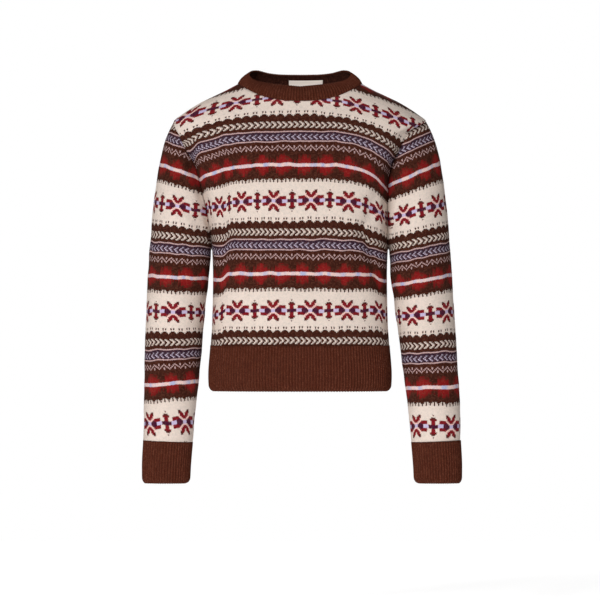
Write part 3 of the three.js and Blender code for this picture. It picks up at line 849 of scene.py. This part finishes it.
def sleeve(name, hand, node):
    oval = SLEEVE[0]
    outermost = SLEEVE_COLUMNS // 2
    turns = [math.pi * (2 * c / SLEEVE_COLUMNS - 1) for c in range(SLEEVE_COLUMNS + 1)]
    edges = [armhole_point(turn) for turn in turns]
    residue = [edge - arm_point(oval, turn) for (edge, side), turn in zip(edges, turns)]
    valleys = [side * valley(edge.z, side, hand) for edge, side in edges]
    drags = [drag(edge.z, side, hand) for edge, side in edges]
    points, stitch_at = [], []
    top, bottom = SLEEVE[0][0], SLEEVE[-1][0]
    for r in range(SLEEVE_ROWS + 1):
        out_z = bottom + (top - bottom) * r / SLEEVE_ROWS
        ring = [out_z, *curve(SLEEVE[::-1], out_z)]
        line = []
        near = math.exp(-((out_z - top) / SEAM_SPAN) ** 2)
        far = math.exp(-((out_z - top) / DRAG_WIDTH) ** 2)
        for turn, rest, deep, moved in zip(turns, residue, valleys, drags):
            point = arm_point(ring, turn) + rest * ring[6]
            point.y -= deep * near
            point.x -= moved * far
            lift = slack(point.x * hand, point.y, point.z, 1.2) * (1 - ring[6])
            out = Vector((math.cos(turn), -math.sin(turn), 0))
            line.append(point + out * lift)
        line[-1] = line[0].copy()
        across = [0]
        for here, after in zip(line, line[1:]):
            across.append(across[-1] + (after - here).xy.length)
        before = [(point.x, arc) for point, arc in zip(line[outermost:], across[outermost:])]
        behind = [(point.x, arc) for point, arc in zip(line[outermost::-1],
                                                       across[outermost::-1])]
        cells = []
        for c, point in enumerate(line):
            inward = curve(SLEEVE_MIDDLE, point.z)[0] - point.x
            row = course_row(SLEEVE_COURSES[hand], point.z, inward) + waver(*point)
            back_line = curve(BACK_LINES[hand], point.z)[0]
            front_line = curve(FRONT_LINES[hand], point.z)[0]
            from_back = across[c] - arc_at(behind, back_line) - FRONT_TO_BACK
            from_front = across[c] - arc_at(before, front_line)
            round_it = from_back + (from_front - from_back) * step(turns[c], OUTER_FOLD, FOLD_SPAN)
            column = SLEEVE_PLACES[hand] - hand * round_it / SLEEVE_STITCH
            cells.append((column, row))
        points.append([Vector((p.x * hand + sway(p.z), p.y, p.z)) for p in line])
        stitch_at.append(cells)
    if hand == 1:
        points = [line[::-1] for line in points]
        stitch_at = [cells[::-1] for cells in stitch_at]
    made = cloth_piece(name, SLEEVE_COLUMNS, SLEEVE_ROWS, points, stitch_at, True,
                       [fair_isle, fair_isle_floats], CLOTH)
    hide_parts(node)
    return made


sleeve("left_sleeve", 1, "sleeve_left")
sleeve("right_sleeve", -1, "sleeve_right")


# The welt. Two deep 1 by 1 ribbed pieces in dark brown wool, linked to the front and the back and
# sewn at the sides. Their knit columns stand proud and the purl ones lie back between them.
RIB_PITCH = 4.85
RIB_HIGH = 0.55
RIB_MIDDLE = 0.15
RIB_WALL = 2.6
RIB_SPANS = 8
EDGE_CROWD = 1.6
WELT_RISE = 24

# The welt's sections, as the body's: the edge is rounded in.
WELT = (
    (-513.5, 146, 79, 75, 2.7),
    (-511, 149.8, 82, 77.5, 2.7),
    (-505, 152.8, 84.4, 79.4, 2.7),
    (-488, 153.5, 85, 80, 2.7),
    (-437.3, 150, 85, 81, 2.7),
)


def ribbing(name, wool_yarn):
    """The ribs' material: each rib one column of stitches, flecked with a paler fibre."""
    material, shader, start = wool(name, WOOL_SHEEN)
    cloth = start.node("UVMap", {}, uv_map="courses")
    across = start.node("SeparateXYZ", {0: cloth}, 0)
    down = start.node("SeparateXYZ", {0: cloth}, 1)
    from_top = abs(across % 1 - 0.5) * 2
    knit = 1 - from_top.sum("POWER", from_top, 2)
    leaned = down + from_top * 0.9
    row = leaned.whole()
    height = leaned - row
    rounding = 1 - abs(height * 2 - 1).sum("POWER", abs(height * 2 - 1), 3)
    cell = start.node("CombineXYZ", {0: across.whole(), 1: row, 2: 0.0})
    speck = start.node("TexWhiteNoise", {"Vector": cell}, noise_dimensions="2D")
    body = start.node("TexCoord", {}, 3)
    fluff = start.noise(body, 700, 3)
    marl = start.noise(body, 850, 2)
    pale = (marl > 0.56) * 0.42
    colour = pale.mix(yarn(wool_yarn), yarn("marl"))
    worn = start.noise(body, 70, 3)
    shade = 0.5 + speck * 0.14 + fluff * 0.3 + worn * 0.3
    # The purl valleys and the dips between rows are painted darker: painted shade on top of the
    # raised ribs and the bump.
    shade = shade * (0.55 + knit * 0.4 + rounding * 0.2)
    grey = start.node("CombineColor", {0: shade, 1: shade, 2: shade})
    colour = start.node("Mix", {0: 1.0, 6: colour, 7: grey}, 2, data_type="RGBA",
                        blend_type="MULTIPLY")
    start.tree.links.new(shader.inputs["Base Color"], colour.socket)
    relief = knit * 0.4 + rounding * knit * 0.6 + fluff * 0.4
    bump = start.node("Bump", {"Strength": 0.6, "Distance": 0.0009, "Height": relief})
    start.tree.links.new(shader.inputs["Normal"], bump.socket)
    return material


brown_rib = ribbing("brown_rib", "rib")


def even_turns(point_at, start, end, count):
    """Turns along a curve that are the same length of cloth apart, and that whole length."""
    steps = 720
    lengths = [0]
    before = point_at(start)
    for k in range(1, steps + 1):
        here = point_at(start + (end - start) * k / steps)
        lengths.append(lengths[-1] + (here - before).length)
        before = here
    turns, k = [], 0
    for c in range(count + 1):
        want = lengths[-1] * c / count
        while k < steps - 1 and lengths[k + 1] < want:
            k += 1
        share = (want - lengths[k]) / (lengths[k + 1] - lengths[k])
        turns.append(start + (end - start) * (k + share) / steps)
    return turns, lengths[-1]


def ribbed_piece(name, node, ribs, lines, round_it, materials=(brown_rib,)):
    """A ribbed sheet: its plain lines of points, from the bottom up, raised column by column."""
    count = ribs * RIB_SPANS
    points, stitch_at = [], []
    drop = 0
    for r, line in enumerate(lines):
        above, below = lines[min(r + 1, len(lines) - 1)], lines[max(r - 1, 0)]
        raised = []
        for c, point in enumerate(line):
            left = line[(c - 1) % count] if round_it else line[max(c - 1, 0)]
            right = line[(c + 1) % count] if round_it else line[min(c + 1, count)]
            out = (right - left).cross(above[c] - below[c]).normalized()
            rise = RIB_MIDDLE - RIB_HIGH * math.cos(2 * math.pi * c / RIB_SPANS)
            raised.append(point + out * rise)
        if round_it:
            raised[-1] = raised[0].copy()
        points.append(raised)
        if r:
            drop += (line[count // 2] - lines[r - 1][count // 2]).length
        stitch_at.append([(c / RIB_SPANS, -drop / ROW_HEIGHT) for c in range(count + 1)])
    made = cloth_piece(name, count, len(lines) - 1, points, stitch_at, round_it,
                       materials, RIB_WALL)
    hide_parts(node)
    return made


def welt_point(ring, turn, side):
    """A point of half a ring, turned from the middle of its panel to the side seams."""
    z, half, front, back, n = ring
    depth = front if side == FRONT else back
    x = math.copysign(half * abs(math.sin(turn)) ** (2 / n), turn)
    y = side * (depth * max(0, math.cos(turn)) ** (2 / n) + SEAM_GAP / 2)
    return Vector((x, y, z))


def welt(name, side, node):
    quarter = math.pi / 2
    top = WELT[-1]
    length = even_turns(lambda turn: welt_point(top, turn, side), -quarter, quarter, 1)[1]
    ribs = round(length / RIB_PITCH)
    turns = even_turns(lambda turn: welt_point(top, turn, side), -quarter, quarter,
                       ribs * RIB_SPANS)[0]
    if side == BACK:
        turns = turns[::-1]
    lines = []
    for r in range(WELT_RISE + 1):
        z = WELT[0][0] + (top[0] - WELT[0][0]) * (r / WELT_RISE) ** EDGE_CROWD
        ring = (z, *curve(WELT, z))
        line = [welt_point(ring, turn, side) for turn in turns]
        for point in line[1:-1]:
            point.y += side * slack(point.x, side * 85, z, 0.9)
        lines.append(line)
    made = ribbed_piece(name, node, ribs, lines, False)


welt("front_welt", FRONT, "welt_front")
welt("back_welt", BACK, "welt_back")


# The cuffs. Ribbed tubes like the welt, linked to the sleeves' ends, and drawn in round the edge
# where they hold the wrist.
CUFF = (
    (-668, 263, 196, -668, 28, -13),
    (-665.5, 265.8, 191.2, -666, 31.6, -13),
    (-659, 267.8, 188, -660, 34.2, -13),
    (-640, 268, 187, -642, 35, -13),
    (-596.3, 266, 183.5, -599.3, 38, -12),
)
CUFF_RISE = 22


def cuff(name, hand, node):
    top = CUFF[-1]
    length = even_turns(lambda turn: arm_point(top, turn), -math.pi, math.pi, 1)[1]
    ribs = round(length / RIB_PITCH)
    turns = even_turns(lambda turn: arm_point(top, turn), -math.pi, math.pi,
                       ribs * RIB_SPANS)[0]
    if hand == 1:
        turns = turns[::-1]
    lines = []
    for r in range(CUFF_RISE + 1):
        out_z = CUFF[0][0] + (top[0] - CUFF[0][0]) * (r / CUFF_RISE) ** EDGE_CROWD
        ring = (out_z, *curve(CUFF, out_z))
        line = [arm_point(ring, turn) for turn in turns]
        lines.append([Vector((p.x * hand + sway(p.z), p.y, p.z)) for p in line])
    made = ribbed_piece(name, node, ribs, lines, True)


cuff("left_cuff", 1, "cuff_left")
cuff("right_cuff", -1, "cuff_right")


# The neckband. One ribbed strip linked round the neckline that leans in towards the neck and
# stands highest at the sides of the back.
NECKBAND_TOP = (
    (0, -4), (34, 1), (47, 3.7), (66, 8.5), (78, 14), (90, 19), (112, 25.5), (122, 26.5),
    (144, 22), (160, 20.3), (180, 20),
)
NECKBAND_RISE = 12
NECKBAND_BULGE = 3
NECKBAND_IN = {"x": 0.82, "y": 0.78}
NECKBAND_BACK = 1.7
NECK_RIBS = 114


def neck_point(turn):
    """The neckline: from the right neck point at 0, along the front to 2, home along the back."""
    side = FRONT if turn <= 2 else BACK
    s = turn - 1 if side == FRONT else 3 - turn
    half, _, _, n = section(NECK_POINT)
    g = math.sin(abs(s) * math.pi / 2) ** (2 / n)
    x = math.copysign(g * half, s)
    z = NECK_POINT - NECK_DIP[side] * (1 - g ** NECKLINE_ROUND)
    return Vector((x, side * body_depth(x, z, side), z))


def neckband_point(turn, share):
    """A point of the neckband, from the neckline at share 0 to its top edge at 1."""
    base = neck_point(turn)
    lean = math.degrees(math.asin(min(1, abs(base.x) / section(NECK_POINT)[0])))
    top_z = curve(NECKBAND_TOP, lean if base.y < 0 else 180 - lean)[0]
    top = Vector((base.x * NECKBAND_IN["x"], base.y * NECKBAND_IN["y"] + NECKBAND_BACK, top_z))
    out = Vector((base.x, base.y * 1.6, 0)).normalized()
    bulge = 4 * NECKBAND_BULGE * share * (1 - share)
    return base.lerp(top, share) + (out * 0.75 + Vector((0, 0, 0.66))) * bulge


around = even_turns(neck_point, 0, 4, NECK_RIBS * RIB_SPANS)[0]
band_lines = [[neckband_point(turn, r / NECKBAND_RISE) for turn in around]
              for r in range(NECKBAND_RISE + 1)]
# Its inside is painted a darker brown than the wool: painted shade for the hollow of the neck.
neckband = ribbed_piece("ribbed_neckband", "neckband", NECK_RIBS, band_lines, True,
                        (brown_rib, ribbing("brown_rib_painted_shade_inside", "rib_painted_shade")))


# The label. A plain woven tape with no lettering, sewn inside the back of the neckband.
LABEL_COLUMNS, LABEL_ROWS = 40, 12
LABEL_MIDDLE, LABEL_REACH = 10, 29
LABEL_FOOT, LABEL_HEIGHT = 0.1, 0.52
LABEL_CLEAR = 3.3


def woven():
    """The label's material: fine level ribs in pale tape, painted paler than the tape itself as
    painted light.
    """
    material, shader, start = wool("woven_label", 0.1)
    body = start.node("TexCoord", {}, 3)
    ribs = start.node("TexWave", {"Vector": body, "Scale": 330.0}, bands_direction="Z")
    fluff = start.noise(body, 1400, 2)
    shade = 0.8 + ribs * 0.14 + fluff * 0.12
    grey = start.node("CombineColor", {0: shade, 1: shade, 2: shade})
    colour = start.node("Mix", {0: 1.0, 6: yarn("label"), 7: grey}, 2, data_type="RGBA",
                        blend_type="MULTIPLY")
    start.tree.links.new(shader.inputs["Base Color"], colour.socket)
    bump = start.node("Bump", {"Strength": 0.4, "Distance": 0.0003, "Height": ribs})
    start.tree.links.new(shader.inputs["Normal"], bump.socket)
    return material


def label_point(x, share):
    """A place on the inside of the neckband's back, just clear of its ribs."""
    low, high = 2.5, 3.5
    for _ in range(24):
        turn = (low + high) / 2
        if neckband_point(turn, share).x > x:
            low = turn
        else:
            high = turn
    here = neckband_point(turn, share)
    along_band = neckband_point(turn - 0.01, share) - neckband_point(turn + 0.01, share)
    up_band = neckband_point(turn, share + 0.02) - neckband_point(turn, share - 0.02)
    out = up_band.cross(along_band).normalized()
    return here - out * math.copysign(LABEL_CLEAR, out.y)


label_lines, label_stitches = [], []
for r in range(LABEL_ROWS + 1):
    share = LABEL_FOOT + LABEL_HEIGHT * r / LABEL_ROWS
    line = []
    for c in range(LABEL_COLUMNS + 1):
        x = LABEL_MIDDLE + LABEL_REACH * (2 * c / LABEL_COLUMNS - 1)
        line.append(label_point(x, share))
    label_lines.append(line)
    label_stitches.append([(point.x, point.z) for point in line])
label = cloth_piece("woven_label", LABEL_COLUMNS, LABEL_ROWS, label_lines, label_stitches,
                    False, [woven()], 0.6)
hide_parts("label")
